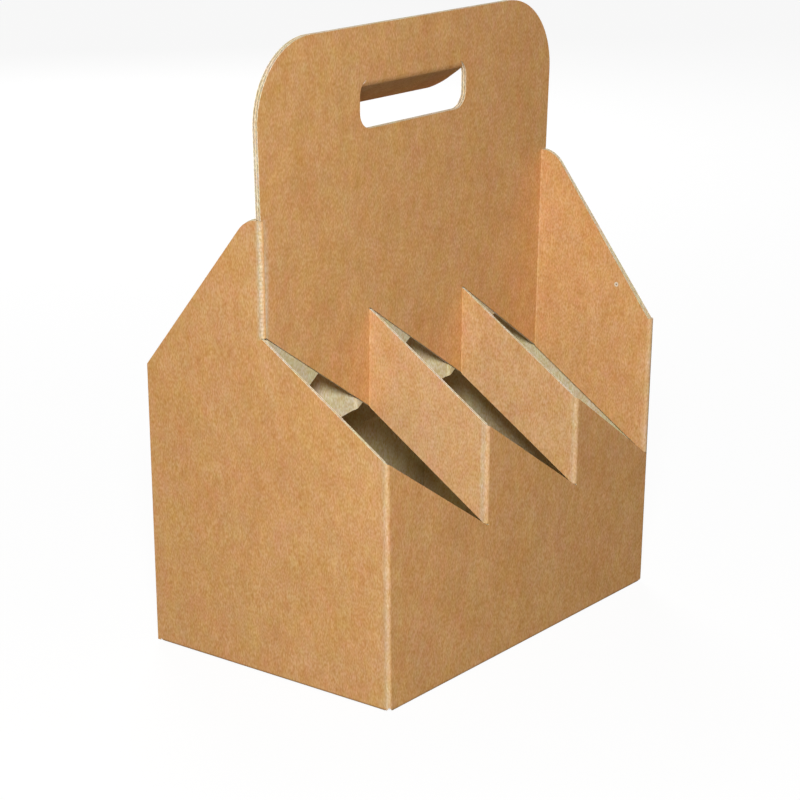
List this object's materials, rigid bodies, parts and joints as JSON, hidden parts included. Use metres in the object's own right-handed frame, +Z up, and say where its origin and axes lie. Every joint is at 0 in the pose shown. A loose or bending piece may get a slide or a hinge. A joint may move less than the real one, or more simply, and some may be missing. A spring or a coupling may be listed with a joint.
{
  "type": "bottle carrier",
  "caption": "Open carrier for bottles, folded from one sheet of brown corrugated board, with saw-tooth long walls, slanting dividers, end walls that lean out a little and a two-ply middle handle with a grip hole.",
  "frame": {"origin": "middle of the base, on the ground", "axes": "+Z up, X along the long walls and the handle, Y from the front wall to the rear wall"},
  "size_m": [0.2498, 0.155, 0.325],
  "materials": {
    "cardboard": "matte brown kraft outside, paler beige inside"
  },
  "bodies": {
    "root": {"carrier_sheet": "cardboard"}
  },
  "joints": []
}
